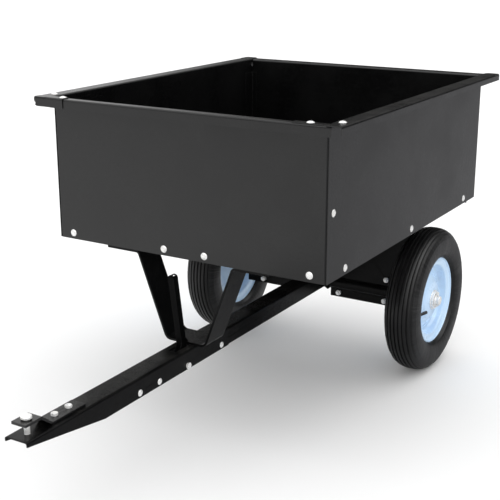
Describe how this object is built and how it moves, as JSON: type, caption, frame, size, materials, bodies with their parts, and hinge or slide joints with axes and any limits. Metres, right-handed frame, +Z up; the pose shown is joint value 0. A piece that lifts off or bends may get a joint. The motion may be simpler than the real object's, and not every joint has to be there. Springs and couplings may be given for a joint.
{
  "type": "tow behind dump cart",
  "caption": "Steel tow behind cart with a tipping tray, lift-out tailgate, pneumatic wheels, latch lever and pin hitch.",
  "frame": {"origin": "on the ground at the centre of the cart's footprint", "axes": "+Y from the hitch towards the tailgate, +X to the right when looking along +Y, +Z up"},
  "size_m": [0.844, 1.577, 0.8302],
  "materials": {
    "panel_paint": "satin black powder coat",
    "frame_paint": "satin black powder coat",
    "zinc": "bright zinc plate",
    "rim_paint": "pale gloss",
    "tyre": "ribbed black rubber",
    "valve_rubber": "smooth black rubber"
  },
  "bodies": {
    "tongue": {"tongue_front": "frame_paint", "tongue_rear": "frame_paint", "tongue_bolts": "zinc", "tongue_nuts": "zinc", "hitch_strap": "frame_paint", "hitch_bolts": "zinc", "hitch_nuts": "zinc", "latch_pivot": "zinc", "latch_pivot_nut": "zinc", "latch_spring": "zinc"},
    "tray": {"tray_floor": "panel_paint", "front_panel": "panel_paint", "side_panel_left": "panel_paint", "side_panel_right": "panel_paint", "tailgate_guides": "panel_paint", "panel_bolts": "zinc", "panel_nuts": "zinc", "rim_bolts": "zinc", "rim_nuts": "zinc", "brace": "frame_paint", "brace_bolts": "zinc", "brace_nuts": "zinc", "bracket_left_front": "frame_paint", "bracket_left_rear": "frame_paint", "bracket_right_front": "frame_paint", "bracket_right_rear": "frame_paint", "bracket_bolts": "zinc", "bracket_nuts": "zinc", "bracket_floor_bolts": "zinc", "bracket_floor_nuts": "zinc", "axle": "zinc", "axle_collars": "zinc", "axle_washers": "zinc", "cotter_pins": "zinc"},
    "tailgate": {"tailgate": "panel_paint"},
    "wheel_left": {"tyre_left": "tyre", "rim_outer_left": "rim_paint", "rim_inner_left": "rim_paint", "hub_left": "zinc", "bearings_left": "zinc", "valve_left": "valve_rubber"},
    "wheel_right": {"tyre_right": "tyre", "rim_outer_right": "rim_paint", "rim_inner_right": "rim_paint", "hub_right": "zinc", "bearings_right": "zinc", "valve_right": "valve_rubber"},
    "latch_lever": {"latch_lever": "frame_paint"},
    "hitch_pin": {"hitch_pin": "zinc"}
  },
  "joints": [
    {"name": "tray_tip", "type": "hinge", "parent": "tongue", "child": "tray", "pos_m": [0, 0.5385, 0.206], "axis": [-1, 0, 0], "range_deg": [0, 85]},
    {"name": "tailgate_lift", "type": "slide", "parent": "tray", "child": "tailgate", "axis": [0, 0, 1], "range_m": [0, 0.36]},
    {"name": "wheel_left_spin", "type": "hinge", "parent": "tray", "child": "wheel_left", "pos_m": [-0.3275, 0.5385, 0.206], "axis": [1, 0, 0], "continuous": true},
    {"name": "wheel_right_spin", "type": "hinge", "parent": "tray", "child": "wheel_right", "pos_m": [0.3275, 0.5385, 0.206], "axis": [1, 0, 0], "continuous": true},
    {"name": "latch_release", "type": "hinge", "parent": "tongue", "child": "latch_lever", "pos_m": [0, -0.2315, 0.212], "axis": [1, 0, 0], "range_deg": [0, 25]},
    {"name": "pin_lift", "type": "slide", "parent": "tongue", "child": "hitch_pin", "axis": [0, 0, 1], "range_m": [0, 0.08]}
  ]
}
